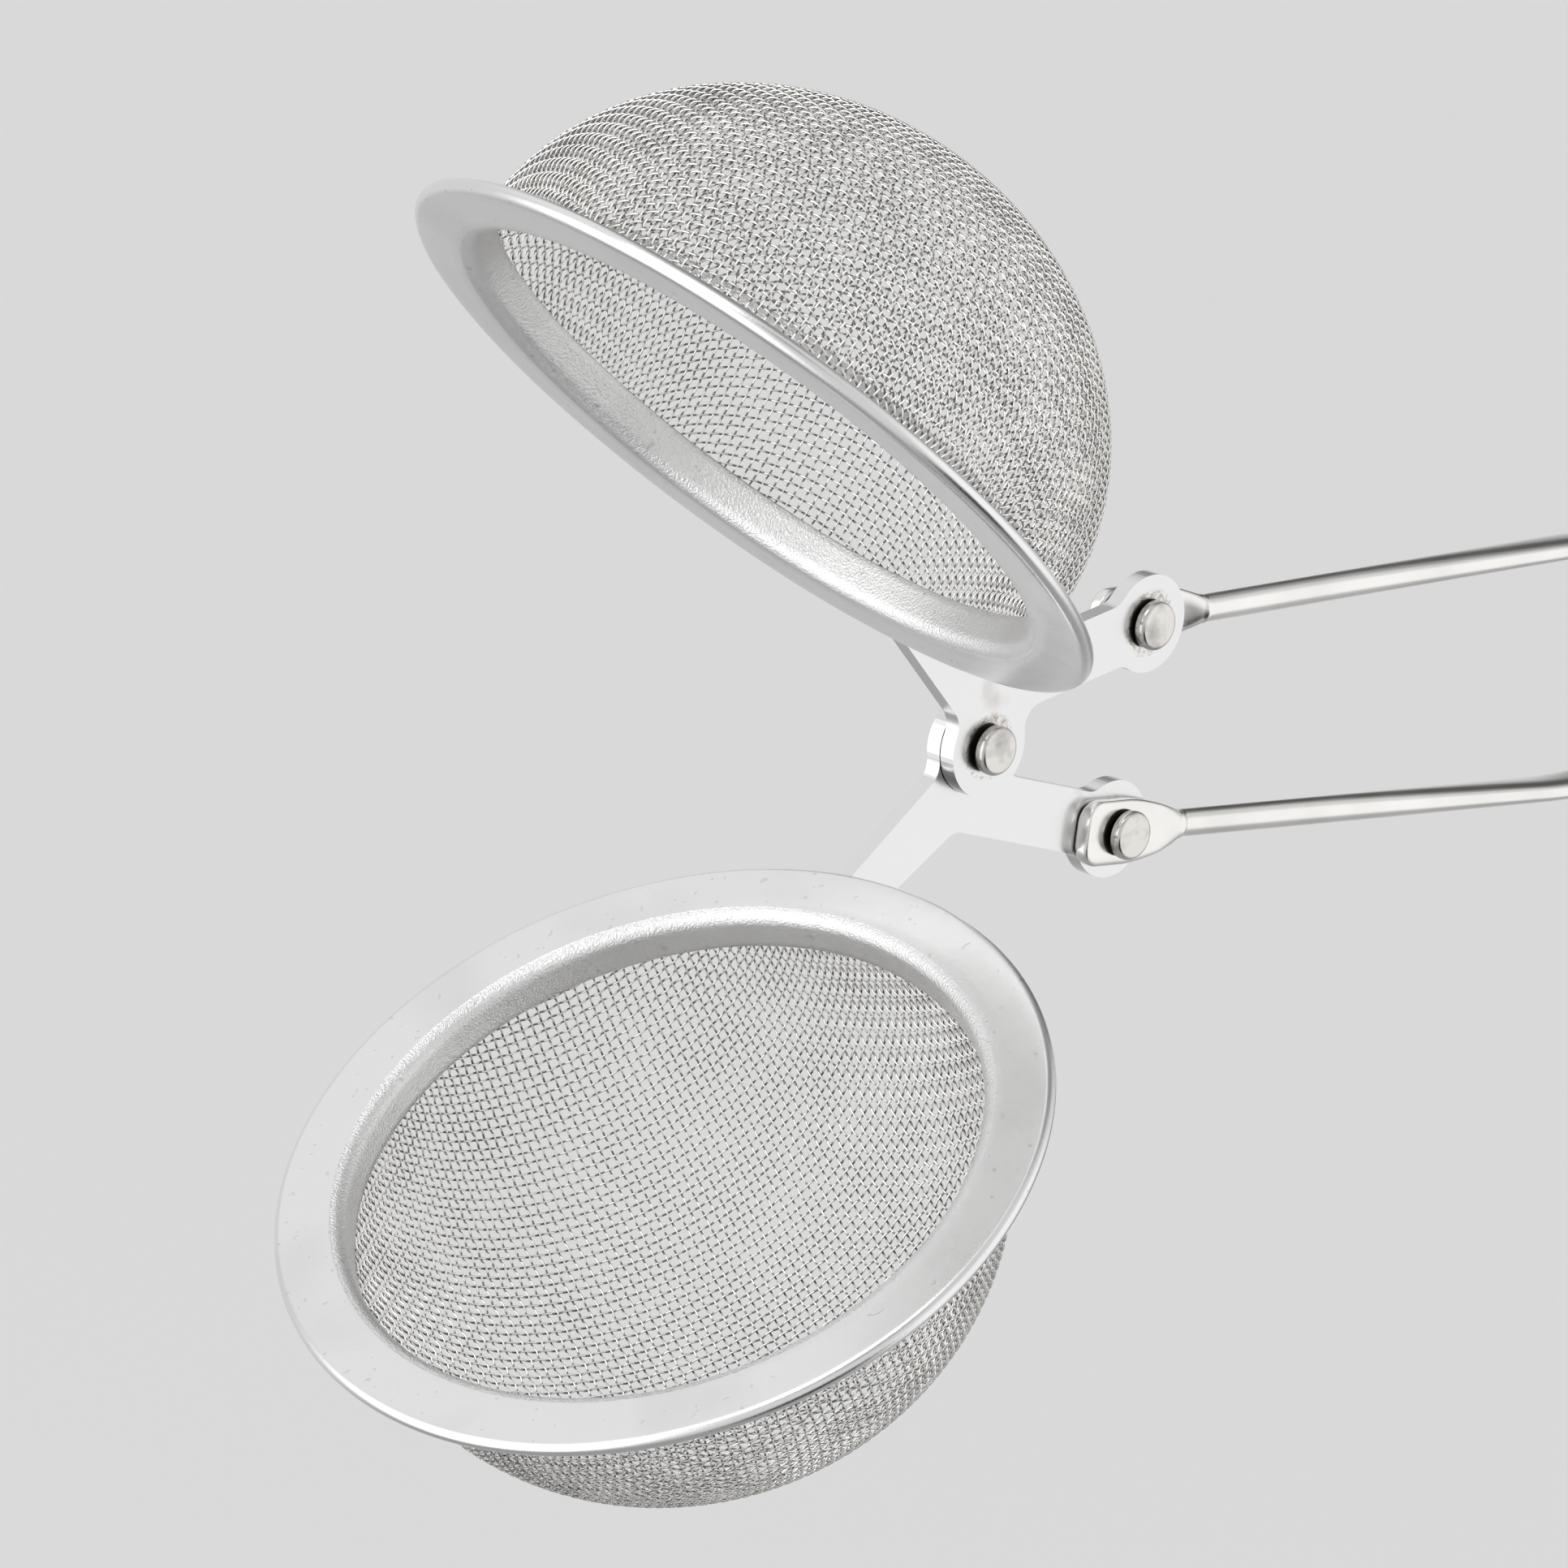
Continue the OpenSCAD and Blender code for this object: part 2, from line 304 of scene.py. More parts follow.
def bracket_plate():
    """Stamped plate, tumbled bright and smooth, with a worn dark ring round each rivet."""
    n = Nodes("bracket_plate").steel()
    cloud = n.noise(n.coords(), 220, 3, 0.5)
    scratch = n.noise(n.coords((3, 1, 30)), 300, 3, 0.5)
    fine = n.noise(n.coords(), 7000, 2, 0.6)
    galled = n.noise(n.coords(), 3200, 3, 0.8)
    worn = None
    for centre in (PIVOT, LOWER_EYE, UPPER_EYE):
        ring = n.ring(centre, 2.3 * MM, 0.6 * MM)
        worn = n.math("MAXIMUM", worn, ring) if worn else ring
    marks = n.math("MULTIPLY", worn, n.ramp(galled, 0.4, 0.62, 0, 1))
    tone = n.math("SUBTRACT", cloud, n.math("MULTIPLY", marks, 0.6))
    n.colours(tone, (0.45, 0.41, 0.36), (0.80, 0.80, 0.80), -0.15, 0.35)
    rough = n.ramp(n.math("ADD", scratch, cloud), 0.7, 1.3, 0.19, 0.25)
    n.link(rough, n.shader.inputs["Roughness"])
    height = n.math("ADD", n.math("MULTIPLY", scratch, 0.08), n.math("MULTIPLY", fine, 0.12))
    n.bump(n.math("ADD", height, n.math("MULTIPLY", marks, -1.5)), 0.14, 0.05 * MM)
    return n.material


def rivet_steel():
    """Pressed rivet: polished, with small dents, and black grime with painted shade in the gap
    under its head.
    """
    n = Nodes("rivet_steel").steel()
    cloud = n.noise(n.coords(), 380, 3, 0.5)
    dents = n.noise(n.coords(), 1500, 2, 0.5)
    patchy = n.ramp(n.noise(n.coords(), 2600, 2, 0.5), 0.25, 0.45, 0.8, 1)
    # Painted shade with some grime: near black on the shank in the gap under the head
    grime_and_shade = n.math("MULTIPLY", n.attribute("grime_and_shade"), patchy)
    tone = n.math("SUBTRACT", cloud, grime_and_shade)
    n.colours(tone, (0.015, 0.013, 0.010), (0.74, 0.72, 0.69), 0.0, 0.5)
    rough = n.math("ADD", n.ramp(cloud, 0.3, 0.7, 0.12, 0.24), n.math("MULTIPLY", grime_and_shade, 0.4))
    n.link(rough, n.shader.inputs["Roughness"])
    n.bump(n.math("ADD", cloud, n.math("MULTIPLY", dents, 0.3)), 0.18, 0.08 * MM)
    return n.material


def handle_wire():
    """Drawn wire: smooth along its length, with faint die lines and handling marks."""
    n = Nodes("handle_wire").steel()
    lines = n.noise(n.coords((1, 60, 60)), 60, 3, 0.5)
    cloud = n.noise(n.coords(), 130, 3, 0.5)
    fine = n.noise(n.coords(), 6000, 2, 0.5)
    n.colours(cloud, (0.80, 0.79, 0.77), (0.90, 0.89, 0.87), 0.3, 0.65)
    rough = n.ramp(n.math("ADD", lines, cloud), 0.7, 1.3, 0.15, 0.24)
    n.link(rough, n.shader.inputs["Roughness"])
    height = n.math("ADD", n.math("MULTIPLY", lines, 0.4), n.math("MULTIPLY", fine, 0.2))
    n.bump(height, 0.10, 0.05 * MM)
    return n.material


def steel_mesh():
    """Bright woven wire, with painted shade in the crevices where the wires cross."""
    n = Nodes("steel_mesh").steel()
    cloud = n.noise(n.coords(), 260, 3, 0.6)
    fine = n.noise(n.coords(), 5000, 2, 0.5)
    # Painted shade: darker where a wire faces the wire that crosses it, standing in for the shadow
    # between them
    crevice_shade = n.attribute("crevice_shade")
    tone = n.math("SUBTRACT", cloud, crevice_shade)
    n.colours(tone, (0.25, 0.243, 0.23), (0.95, 0.94, 0.92), -0.5, 0.05)
    open_rough = n.ramp(n.math("ADD", cloud, fine), 0.7, 1.3, 0.08, 0.16)
    rough = n.math("ADD", open_rough, n.math("MULTIPLY", crevice_shade, 0.2))
    n.link(rough, n.shader.inputs["Roughness"])
    n.bump(fine, 0.06, 0.03 * MM)
    return n.material


RIM_STEEL = satin_rim()
PLATE_STEEL = bracket_plate()
RIVET_STEEL = rivet_steel()
WIRE_STEEL = handle_wire()
MESH_STEEL = steel_mesh()


# ---------------------------------------------------------------- woven domes
# The net lies on the dome's middle surface: half an ellipsoid, and a cone down to the rim
FOOT_R = RIM_R - FLANGE_W + SHEET_T + FOOT_GAP
NET_R = DOME_R - 2 * WIRE_R
NET_H = DOME_H - 2 * WIRE_R
FOOT_SLOPE = (NET_R - FOOT_R) / (DOME_Z - RIM_GAP - SHEET_T)
NET_BOTTOM = RIM_GAP - 2.5
WIRE_FLOOR = RIM_GAP + SHEET_T + MESH_CLEARANCE + WIRE_R


def surface(p):
    """Signed distance-like value of the mesh's middle surface at p, and its gradient."""
    x, y, z = p
    if z > DOME_Z:
        u, v = 1 / NET_R**2, 1 / NET_H**2
        w = z - DOME_Z
        return u * (x * x + y * y) + v * w * w - 1, np.array((2 * u * x, 2 * u * y, 2 * v * w))
    r = math.hypot(x, y)
    return r - NET_R + FOOT_SLOPE * (DOME_Z - z), np.array((x / r, y / r, -FOOT_SLOPE))


def on_net(start, near, pitch):
    """The surface point one pitch from each point in near, found from start by Newton's method."""
    p = start.copy()
    for _ in range(12):
        value, slope = surface(p)
        gaps = [p - q for q in near]
        f = np.array([g @ g - pitch * pitch for g in gaps] + [value])
        jac = np.array([2 * g for g in gaps] + [slope])
        if len(near) == 1:
            # Only the first wire of each family: it stays in the plane of its axis
            level = 0 if abs(start[0]) < abs(start[1]) else 1
            jac = np.vstack([jac, np.eye(3)[level]])
            f = np.append(f, p[level])
        step = np.linalg.solve(jac, f)
        p = p - step
        if np.abs(step).max() < 1e-9:
            break
    return p


def woven_net(pitch):
    """One quarter of a net of equal wire lengths laid over the dome, as {(i, j): point}."""
    pole = np.array((0.0, 0.0, DOME_Z + NET_H))
    net = {(0, 0): pole}
    for axis in (0, 1):
        ahead = np.zeros(3)
        ahead[axis] = pitch
        last, i = pole, 0
        while last[2] > NET_BOTTOM:
            i += 1
            point = on_net(last + ahead, [last], pitch)
            net[(i, 0) if axis == 0 else (0, i)] = point
            ahead, last = point - last, point
    size = max(i for i, _ in net)
    for total in range(2, 2 * size):
        for i in range(1, total):
            j = total - i
            a, b, c = net.get((i - 1, j)), net.get((i, j - 1)), net.get((i - 1, j - 1))
            if a is None or b is None or c is None or min(a[2], b[2]) < NET_BOTTOM:
                continue
            guess = a + b - c
            point = on_net(guess, [a, b], pitch)
            if np.linalg.norm(point - guess) < pitch:
                net[(i, j)] = point
    return net


def wire_path(line):
    """One wire's centreline, from its crossings as (point, +1 over or -1 under)."""
    inside = [k for k, (p, _) in enumerate(line) if p[2] > WIRE_FLOOR]
    if len(inside) < 2:
        return None
    wire = []

    def put(p, offset):
        """One point of the wire, raised from the mesh's middle surface."""
        slope = surface(p)[1]
        n = slope / np.linalg.norm(slope)
        wire.append((p + n * offset, n, offset / WIRE_R))

    def foot(inner, outer, sign):
        """The wire's end, cut off level at the rim."""
        t = min(1, (inner[2] - WIRE_FLOOR) / (inner[2] - outer[2]))
        put(inner + (outer - inner) * t, sign * WIRE_R * (1 - 2 * t))

    first, last = inside[0], inside[-1]
    if first > 0:
        foot(line[first][0], line[first - 1][0], line[first][1])
    for k in range(first, last + 1):
        p, sign = line[k]
        if k > first:
            put(p + CREST * (line[k - 1][0] - p), sign * WIRE_R)
        if k < last:
            put(p + CREST * (line[k + 1][0] - p), sign * WIRE_R)
    if last < len(line) - 1:
        foot(line[last][0], line[last + 1][0], line[last][1])
    return wire


def weave():
    """The warp and weft wires: lists of (point, normal, height as a share of the wire radius)."""
    net = {}
    for (i, j), p in woven_net(WEAVE_PITCH).items():
        for si in (1, -1):
            for sj in (1, -1):
                net[(si * i, sj * j)] = p * np.array((si, sj, 1))
    size = max(i for i, _ in net)
    families = []
    for direction in (0, 1):
        wires = []
        for i in range(-size, size + 1):
            line = []
            for j in range(-size, size + 1):
                key = (i, j) if direction == 0 else (j, i)
                if key in net:
                    line.append((net[key], 1 if (i + j + direction) % 2 == 0 else -1))
            wire = wire_path(line)
            if wire:
                wires.append(wire)
        families.append(wires)
    return families


def wire_tubes(name, wires, side, turned):
    """One object of a family's wires; a stored value marks the side that faces a crossing wire, for
    painted shade there.
    """
    points, faces, crevice_shade = [], [], []
    spin = np.array(turn("Z", turned).to_3x3())
    angles = [2 * math.pi * (k + 0.5) / WEAVE_SIDES for k in range(WEAVE_SIDES)]
    for wire in wires:
        start = len(points)
        centres = np.array([c for c, _, _ in wire])
        along = np.gradient(centres, axis=0)
        along /= np.linalg.norm(along, axis=1)[:, None]
        for (c, n, height), t in zip(wire, along):
            across = np.cross(t, n)
            across /= np.linalg.norm(across)
            lift = np.cross(across, t)
            for a in angles:
                points.append(spin @ (c + WIRE_R * (math.cos(a) * across + math.sin(a) * lift)))
                # Painted shade, strongest on the side of the wire that faces a crossing wire
                crevice_shade.append(ease(0.1 - height * math.sin(a)))
        rings = ring_faces(len(wire), WEAVE_SIDES)
        faces.extend(tuple(start + v for v in f) for f in rings)
    obj = add_mesh(name, points, faces, half_place(side), MESH_STEEL)
    obj.data.attributes.new("crevice_shade", "FLOAT", "POINT").data.foreach_set("value", crevice_shade)
    return obj


# ---------------------------------------------------------------- rims
def rim(name, side, phase):
    """Collar, bend, flat flange and rolled edge as one sheet, turned about the half's axis.
    Known fault: its faces point inwards."""
    inner = RIM_R - FLANGE_W
    bend = 1.1
    roll = ROLL_D / 2
    bend_c = (inner + bend, RIM_GAP + bend)
    roll_c = (RIM_R - roll, RIM_GAP + roll)
    back = RIM_GAP + SHEET_T
    lip = 0.12
    profile = [(inner + SHEET_T, COLLAR_H - lip), (inner + SHEET_T - lip, COLLAR_H)]
    profile += [(inner + lip, COLLAR_H), (inner, COLLAR_H - lip)]
    profile += [(inner, COLLAR_H - (COLLAR_H - bend_c[1]) * t) for t in (0.3, 0.65)]
    profile += arc(*bend_c, bend, 180, 270, 10)
    flat_start, flat_end = bend_c[0], roll_c[0]
    profile += [(flat_start + (flat_end - flat_start) * t, RIM_GAP) for t in (0.25, 0.5, 0.75)]
    profile += arc(*roll_c, roll, -90, 165, 22)
    profile += [(RIM_R - ROLL_D - 0.02, back + 0.08), (RIM_R - ROLL_D - 0.12, back)]
    profile += [(flat_start + (flat_end - flat_start) * t, back) for t in (0.5, 0.2)]
    profile += arc(*bend_c, bend - SHEET_T, 270, 180, 6)

    def wobble(a, r, z):
        """Slight unevenness left by spinning and rolling the sheet."""
        wave = math.sin(3 * a + phase) + 0.6 * math.sin(7 * a + 2 * phase)
        wave += 0.35 * math.sin(13 * a + phase)
        edge = max(0.0, (r - inner - bend) / (FLANGE_W - bend))
        return 0.022 * wave * (1 - edge), -0.016 * wave * min(1, edge) if z < back else 0.0

    def strain(r):
        """How far the sheet is frosted: fully on the collar and bend, a little beside them."""
        if r < inner + 0.9 * bend:
            return 1.0
        return 0.35 if r < inner + 1.3 * bend else 0.0

    points, faces = revolve(profile, RIM_STEPS, closed=True, wobble=wobble)
    faces = [tuple(reversed(f)) for f in faces]
    obj = add_mesh(name, points, faces, half_place(side), RIM_STEEL)
    strained = obj.data.attributes.new("strained", "FLOAT", "POINT")
    strained.data.foreach_set("value", [strain(r) for r, _ in profile] * RIM_STEPS)
    return obj


# ---------------------------------------------------------------- rivets
def rivet(name, centre, head_y, tail_y, seed):
    """A rivet along Y: a rounded button head at -Y that stands off its plate, and a set tail."""
    edge = 0.42
    tail_r, tail_t = 1.8, 0.7
    crown = 0.10
    collar_r, collar_z = 1.3, 0.15
    profile = [(0, -HEAD_T - crown)]
    profile += [(HEAD_R * t * 0.8, -HEAD_T - crown * (1 - t * t)) for t in (0.25, 0.5, 0.75)]
    profile += arc(HEAD_R - edge, edge - HEAD_T, edge, -90, 0, 8)
    profile += [(HEAD_R, -0.24), (HEAD_R - 0.02, -0.16), (HEAD_R - 0.3, 0)]
    profile += [(collar_r, 0.05), (collar_r, collar_z), (SHANK_R, collar_z)]
    length = tail_y - head_y
    profile += [(SHANK_R, length), (tail_r - 0.1, length), (tail_r, length + 0.1)]
    profile += arc(tail_r - edge, length + tail_t - edge, edge, 0, 90, 6)
    profile += [(0, length + tail_t)]
    rng = np.random.default_rng(seed)
    dents = [(rng.uniform(0, 6.28), rng.uniform(0.3, 1.4), rng.uniform(0.3, 0.7)) for _ in range(5)]

    def wobble(a, r, z):
        """Shallow dents in the head, left by the press."""
        dz = 0.0
        if z < -HEAD_T + edge:
            x, y = r * math.cos(a), r * math.sin(a)
            for da, dr, size in dents:
                d2 = (x - dr * math.cos(da)) ** 2 + (y - dr * math.sin(da)) ** 2
                dz += 0.03 * math.exp(-d2 / size**2)
        return 0, dz

    points, faces = revolve(profile, RIVET_STEPS, wobble=wobble)
    head = Matrix.Translation(centre + Vector((0, head_y * MM, 0)))
    place = head @ turn("X", -90) @ Matrix.Scale(MM, 4)
    obj = add_mesh(name, points, faces, place, RIVET_STEEL)

    # Painted shade and grime: dark from just under the head's edge to the tail, but not on the two
    # ends
    dark = [float(-0.2 < z < length - 0.1 and r > 0.9 * SHANK_R) for r, z in profile]
    grime_and_shade = obj.data.attributes.new("grime_and_shade", "FLOAT", "POINT")
    grime_and_shade.data.foreach_set("value", dark * RIVET_STEPS)

    # The profile's two ends are each one point
    weld = bmesh.new()
    weld.from_mesh(obj.data)
    bmesh.ops.remove_doubles(weld, verts=weld.verts, dist=1e-7)
    weld.to_mesh(obj.data)
    weld.free()
    return obj


# ---------------------------------------------------------------- handle
TILT = math.radians(SPLAY)
SLOPE = math.tan(TILT)
SPREAD_Z = EYE_Z + (SPREAD_X - EYE_X) * SLOPE


def arm_z(x):
    """Height of the upper arm at x: straight from its eye, then curving in to the bend."""
    if x < SPREAD_X:
        return EYE_Z + (x - EYE_X) * SLOPE
    u = (x - SPREAD_X) / (BEND_X - SPREAD_X)
    run = (BEND_X - SPREAD_X) * SLOPE
    start = SPREAD_Z * (2 * u**3 - 3 * u**2 + 1) + run * (u**3 - 2 * u**2 + u)
    return start + BEND_R * (3 * u**2 - 2 * u**3)


def arm_way(x):
    """Direction of the upper arm at x, as X and Z."""
    slope = (arm_z(x + 0.01) - arm_z(x - 0.01)) / 0.02
    length = math.hypot(1, slope)
    return 1 / length, slope / length


def wire_section(x):
    """Half width, half thickness, twist and squareness of the wire at x."""
    flat = ease((x - FLATTEN_X) / (BEND_X - FLATTEN_END - FLATTEN_X))
    half_w = (WIRE_D + (STRIP_W - WIRE_D) * flat) / 2
    half_t = (WIRE_D + (STRIP_T - WIRE_D) * flat) / 2
    return half_w, half_t, ARM_TWIST * math.sin(math.pi * flat), 2 + 1.5 * flat


def eye_section(s):
    """Half height, half thickness, share of the sideways offset and squareness of an eye
    at s from its rivet, along the handle."""
    corner, widest, shoulder = 1.7, 0.4, 7.2
    neck_start, neck_length = 4.3, 3.4
    half = EYE_H / 2
    gone = s + EYE_REACH
    if gone < corner:
        half += math.sqrt(max(0.0, corner**2 - (corner - gone) ** 2)) - corner
    t = min(1.0, max(0.0, (s - widest) / (shoulder - widest)))
    half = min(half, WIRE_D / 2 + (EYE_H - WIRE_D) / 2 * (1 - t**1.6))
    bend = min(1.0, max(0.0, (s - neck_start) / neck_length))
    neck = (bend + ease(bend)) / 2
    crease = 0.07 * math.exp(-(((s - shoulder) / 0.16) ** 2))
    half_t = EYE_T / 2 + (WIRE_D - EYE_T) / 2 * neck
    return half + crease, half_t + crease, 1 - neck, 5 - 3 * neck


def handle(name):
    """The whole spring handle as one wire, from the lower eye round the bend to the upper eye."""
    points = []

    def ring(centre, along, section):
        """One ring of points. centre is in X, Y and Z and along in X and Z; the section's
        half width lies along Y and its half thickness outwards."""
        (x, y, z), (ax, az) = centre, along
        half_w, half_t, twist, square = section
        c, s = math.cos(math.radians(twist)), math.sin(math.radians(twist))
        for k in range(HANDLE_SIDES):
            a = 2 * math.pi * (k + 0.5) / HANDLE_SIDES
            ca, sa = math.cos(a), math.sin(a)
            v = half_w * math.copysign(abs(ca) ** (2 / square), ca)
            n = half_t * math.copysign(abs(sa) ** (2 / square), sa)
            v, n = v * c - n * s, v * s + n * c
            points.append((x + n * az, y + v, z - n * ax))

    def eye_rings(side):
        """The rings of an eye as (centre, section), from its rounded tip to the wire."""
        tip = ((0, 0.35), (0.05, 0.12), (0.15, 0.03))
        steps = [(past - EYE_REACH, shrink) for past, shrink in tip]
        steps += [(s, 0) for s in np.arange(0.35 - EYE_REACH, WIRE_START - 0.05, EYE_STEP)]
        found = []
        for s, shrink in steps:
            half_h, half_t, offset, square = eye_section(s)
            x = EYE_X + s * math.cos(TILT)
            y = side * (LAYER_GAP + EYE_T / 2) * offset
            z = side * (EYE_Z + s * math.sin(TILT))
            found.append(((x, y, z), (half_t - shrink, half_h - shrink, 0, square)))
        return found

    wire_from = EYE_X + WIRE_START
    xs = [wire_from + (BEND_X - wire_from) * i / ARM_STEPS for i in range(ARM_STEPS + 1)]
    for centre, section in eye_rings(-1):
        ring(centre, (math.cos(TILT), -math.sin(TILT)), section)
    for x in xs:
        ax, az = arm_way(x)
        half_w, half_t, twist, square = wire_section(x)
        ring((x, 0, -arm_z(x)), (ax, -az), (half_w, half_t, -twist, square))
    half_w, half_t, _, square = wire_section(BEND_X)
    for i in range(1, BEND_STEPS):
        a = math.pi * (i / BEND_STEPS - 0.5)
        centre = (BEND_X + BEND_R * math.cos(a), 0, BEND_R * math.sin(a))
        ring(centre, (-math.sin(a), math.cos(a)), (half_w, half_t, 0, square))
    for x in reversed(xs):
        ax, az = arm_way(x)
        ring((x, 0, arm_z(x)), (-ax, -az), wire_section(x))
    for centre, section in reversed(eye_rings(1)):
        ring(centre, (-math.cos(TILT), -math.sin(TILT)), section)
    faces = ring_faces(len(points) // HANDLE_SIDES, HANDLE_SIDES)
    place = Matrix.Translation(PIVOT) @ Matrix.Scale(MM, 4)
    wire = add_mesh(name, points, faces, place, WIRE_STEEL)
    cut_hole(wire, LOWER_EYE, -1, SHANK_R + FIXED_GAP, 0)
    cut_hole(wire, UPPER_EYE, 1, SHANK_R + RUN_GAP, EYE_PLAY)
    return wire


def cut_hole(obj, centre, side, radius, play):
    """Meant to cut a rivet's hole through an eye, which play lengthens into a slot across the
    handle. Known fault: the cutter's faces point inwards, so the solver leaves the eye whole."""
    outline = []
    for end, a0 in ((1, 0), (-1, 180)):
        outline += arc(0, end * play, radius, a0, a0 + 180, 16)[: -1 if play == 0 else None]
    count, depth = len(outline), 3.0
    points = [(x, y, z) for y in (-depth, depth) for x, z in outline]
    faces = [(i, (i + 1) % count, count + (i + 1) % count, count + i) for i in range(count)]
    faces += [tuple(reversed(range(count))), tuple(range(count, 2 * count))]
    place = Matrix.Translation(centre) @ turn("Y", -side * SPLAY) @ Matrix.Scale(MM, 4)
    cutter = add_mesh("cutter", points, faces, place, WIRE_STEEL)
    cut = obj.modifiers.new("hole", "BOOLEAN")
    cut.object = cutter
    cut.solver = "EXACT"
    graph = bpy.context.evaluated_depsgraph_get()
    graph.update()
    made = bpy.data.meshes.new_from_object(obj.evaluated_get(graph))
    obj.modifiers.clear()
    obj.data = made
    bpy.data.objects.remove(cutter)


# ---------------------------------------------------------------- build
WIRES = dict(zip(("warp", "weft"), weave()))
for side, part in ((1, "upper"), (-1, "lower")):
    body = part + "_strainer"
    for family, wires in WIRES.items():
        net = wire_tubes(f"{part}_mesh_{family}", wires, side, MESH_TURN[side])
        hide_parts(part + "_mesh")
        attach(net, body)
    flange = rim(part + "_rim_sheet", side, 1.0 + side)
    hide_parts(part + "_rim")
    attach(flange, body)
    bracket = frame["nodes"][part + "_bracket"]
    bracket.data.materials.clear()
    bracket.data.materials.append(PLATE_STEEL)
    # Known fault: the CAD mesh is split along its edges, so this rounds nothing
    soften = bracket.modifiers.new("sheared_edge", "BEVEL")
    soften.width = PLATE_EDGE * MM
    soften.segments = 3
    soften.limit_method = "ANGLE"
    soften.angle_limit = math.radians(40)

PLATE_FRONT = -LAYER_GAP - PLATE_T
TAIL_Y = LAYER_GAP + PLATE_T
ARM_TAIL_Y = TAIL_Y + 0.1
RIVETS = (
    ("pivot_rivet", PIVOT, HEAD_GAP, TAIL_Y, "lower_strainer"),
    ("upper_arm_rivet", UPPER_EYE, ARM_HEAD_GAP, ARM_TAIL_Y, "upper_strainer"),
    ("lower_arm_rivet", LOWER_EYE, ARM_HEAD_GAP, ARM_TAIL_Y, "handle_lower"),
)
for seed, (node, centre, gap, tail_y, body) in enumerate(RIVETS):
    button = rivet(node + "_button", centre, PLATE_FRONT - gap, tail_y, seed)
    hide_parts(node)
    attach(button, body)

wire = handle("handle_spring_wire")
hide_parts("handle_lower_arm", "handle_bend", "handle_upper_arm")
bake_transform(wire)

# ---------------------------------------------------------------- floor, light and camera
# In metres. The floor's glow lifts it to the pale tone that the backdrop has past its edge
FLOOR_Z = -0.42
WIDE = 8
FLOOR_GLOW = 0.31
BACKDROP_GLOW = 0.73
BACKDROP_R = 0.95 * WIDE
floor_paint = Nodes("floor_paint")
floor_paint.shader.inputs["Base Color"].default_value = (0.5, 0.5, 0.5, 1)
floor_paint.shader.inputs["Roughness"].default_value = 0.9
floor_paint.shader.inputs["Emission Color"].default_value = (1, 1, 1, 1)
floor_paint.shader.inputs["Emission Strength"].default_value = FLOOR_GLOW
corners = ((-WIDE, -WIDE), (WIDE, -WIDE), (WIDE, WIDE), (-WIDE, WIDE))
floor = add_mesh(
    "floor",
    [(x, y, FLOOR_Z) for x, y in corners],
    [(0, 1, 2, 3)],
    Matrix.Identity(4),
    floor_paint.material,
    smooth=False,
)
floor.visible_glossy = False

# A plain backdrop beyond the floor, seen by the camera and nothing else
backdrop_paint = Nodes("backdrop_paint")
backdrop_paint.shader.inputs["Base Color"].default_value = (0, 0, 0, 1)
backdrop_paint.shader.inputs["Emission Color"].default_value = (1, 1, 1, 1)
backdrop_paint.shader.inputs["Emission Strength"].default_value = BACKDROP_GLOW
walls = [(BACKDROP_R, FLOOR_Z - 0.1), (BACKDROP_R, WIDE), (0.01, WIDE)]
points, faces = revolve(walls, 64)
backdrop = add_mesh("backdrop", points, faces, Matrix.Identity(4), backdrop_paint.material)
for seen_by in ("visible_diffuse", "visible_glossy", "visible_transmission", "visible_shadow"):
    setattr(backdrop, seen_by, False)

# What the steel reflects: the room, and over it soft bright and dark patches in this order,
# as azimuth from +X, elevation, half-angles of its full part and its outer edge, and level
ROOM_LEVEL = 0.72
SOFT_PATCHES = (
    (0, -90, 30, 72, 0.36),
    (165, 0, 30, 52, 1.55),
    (-126, 46, 6, 20, 0.4),
    (-50, 2, 24, 44, 1.05),
    (98, 54, 14, 32, 0.86),
    (-90, -32, 9, 27, 0.04),
    (27, 26, 8, 28, 0.1),
    (10, 62, 10, 26, 0.3),
    (10, -16, 7, 22, 0.3),
)


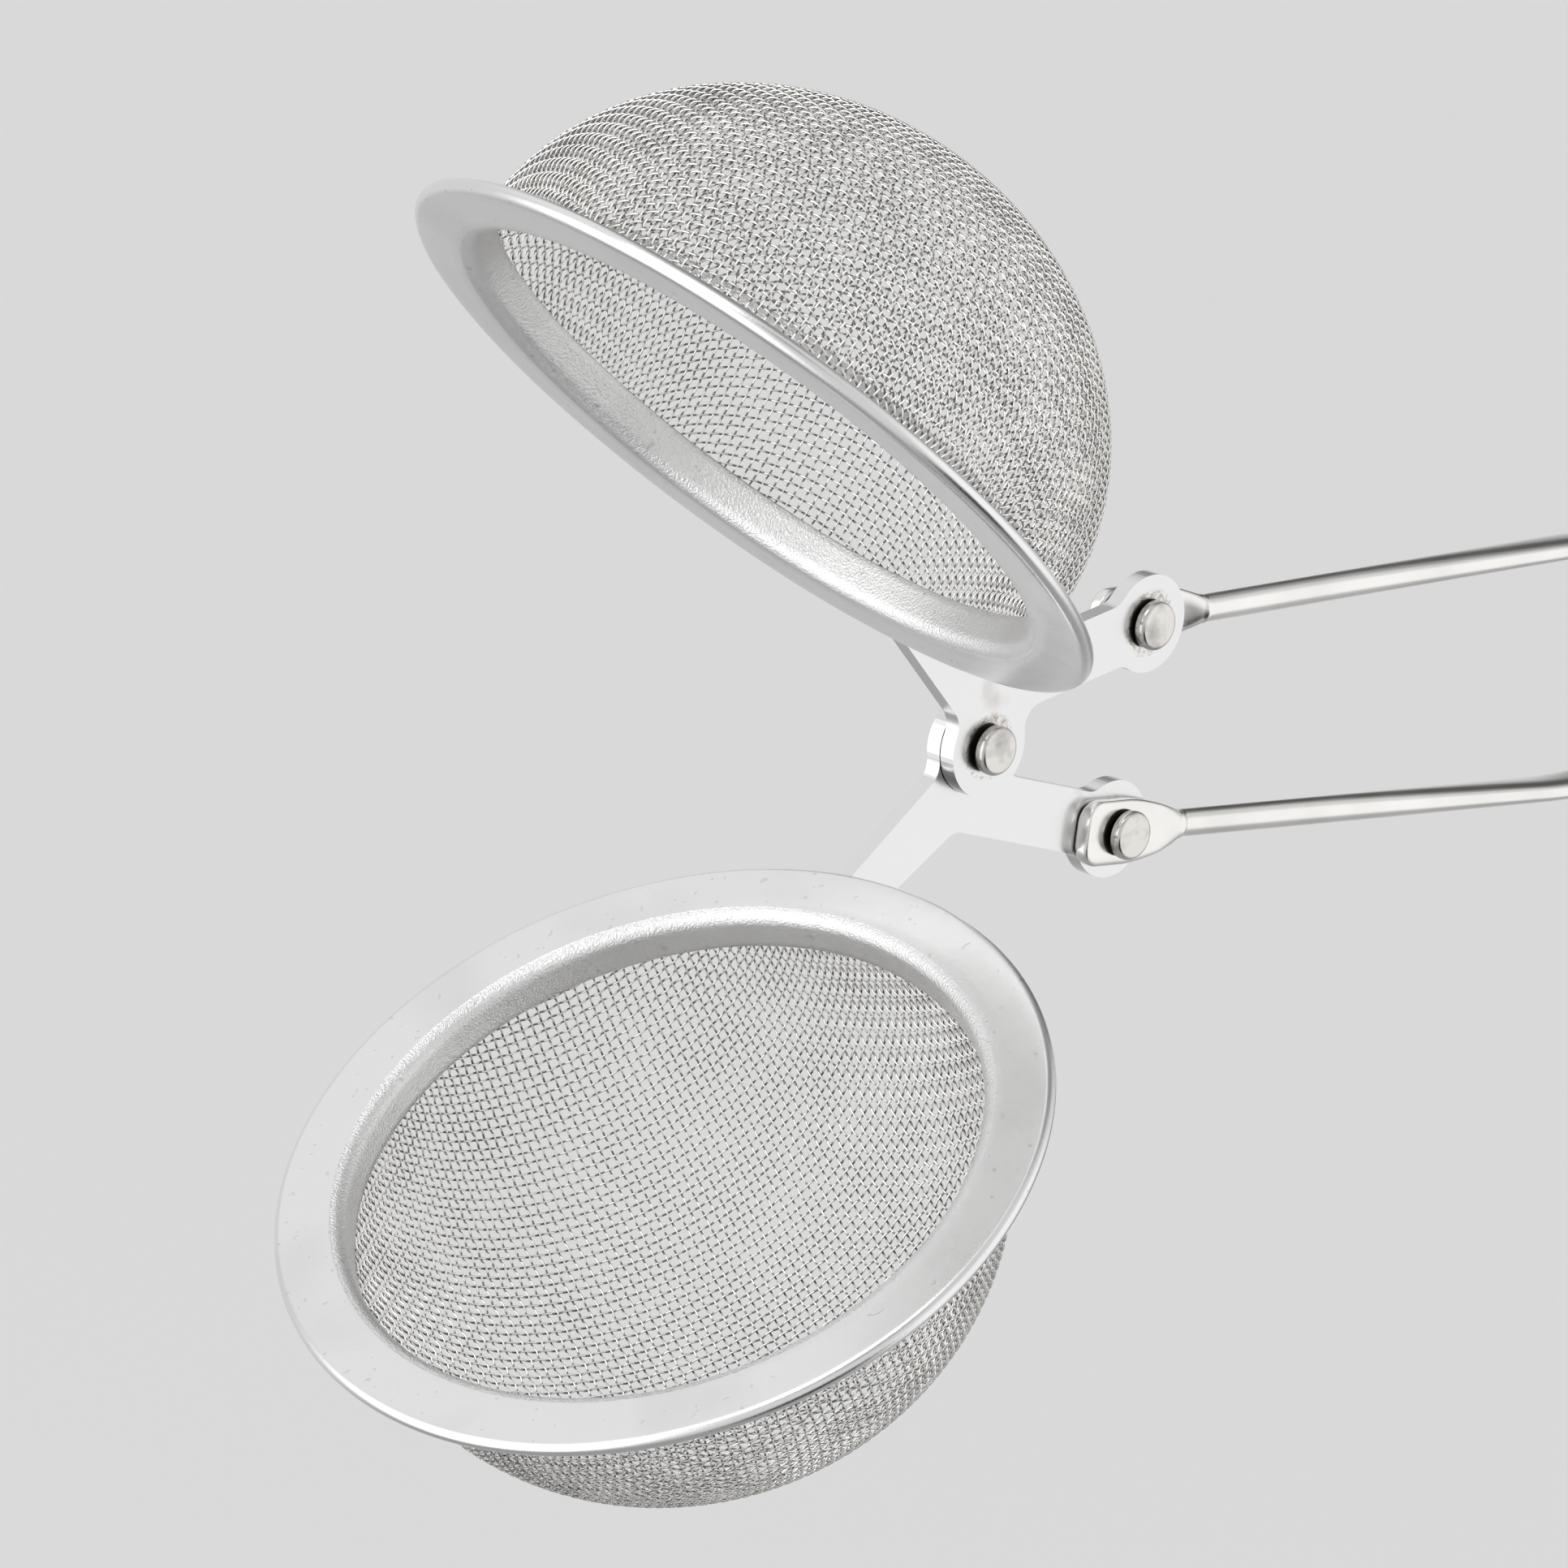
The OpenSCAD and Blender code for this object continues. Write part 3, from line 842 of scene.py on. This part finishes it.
def studio(patches):
    """A room that is bright in some directions and dark in others, faded softly into each other."""
    world = bpy.data.worlds.new("studio")
    SCENE.world = world
    world.use_nodes = True
    tree = world.node_tree
    way = tree.nodes.new("ShaderNodeTexCoord").outputs["Generated"]
    level = None
    for azimuth, elevation, full, outer, strength in patches:
        a, e = math.radians(azimuth), math.radians(elevation)
        middle = (math.cos(e) * math.cos(a), math.cos(e) * math.sin(a), math.sin(e))
        dot = tree.nodes.new("ShaderNodeVectorMath")
        dot.operation = "DOT_PRODUCT"
        dot.inputs[1].default_value = middle
        tree.links.new(way, dot.inputs[0])
        fade = tree.nodes.new("ShaderNodeMapRange")
        fade.interpolation_type = "SMOOTHSTEP"
        fade.inputs["From Min"].default_value = math.cos(math.radians(outer))
        fade.inputs["From Max"].default_value = math.cos(math.radians(full))
        tree.links.new(dot.outputs["Value"], fade.inputs["Value"])
        mix = tree.nodes.new("ShaderNodeMix")
        mix.inputs[2].default_value = ROOM_LEVEL
        mix.inputs[3].default_value = strength
        tree.links.new(fade.outputs["Result"], mix.inputs[0])
        if level:
            tree.links.new(level, mix.inputs[2])
        level = mix.outputs[0]
    tree.links.new(level, tree.nodes["Background"].inputs["Strength"])
    tree.nodes["Background"].inputs["Color"].default_value = (1, 1, 1, 1)


studio(SOFT_PATCHES)
KEY_AIM = Vector((-0.1, 0, 0))
key = bpy.data.objects.new("key_light", bpy.data.lights.new("key_light", "AREA"))
key.data.size = 0.5
key.data.energy = 1.5
key.location = (-0.6, -0.1, 0.8)
key.rotation_euler = (KEY_AIM - key.location).to_track_quat("-Z", "Y").to_euler()
SCENE.collection.objects.link(key)
SCENE.view_settings.view_transform = "Standard"

# Camera: solved from the rims and rivets in the photo's view
CAMERA_AT = Vector((-0.64535, -0.53073, 0.19602))
CAMERA_RIGHT = Vector((0.70575, -0.70042, 0.10641))
CAMERA_UP = Vector((0.09362, 0.24108, 0.96598))
CAMERA_BACK = CAMERA_RIGHT.cross(CAMERA_UP)
camera_data = bpy.data.cameras.new("camera")
camera_data.lens = 242.4
camera_data.sensor_width = 36
camera_data.clip_start = 0.01
camera = bpy.data.objects.new("camera", camera_data)
axes = Matrix((CAMERA_RIGHT, CAMERA_UP, CAMERA_BACK)).transposed()
camera.matrix_world = Matrix.Translation(CAMERA_AT) @ axes.to_4x4()
SCENE.collection.objects.link(camera)
SCENE.camera = camera
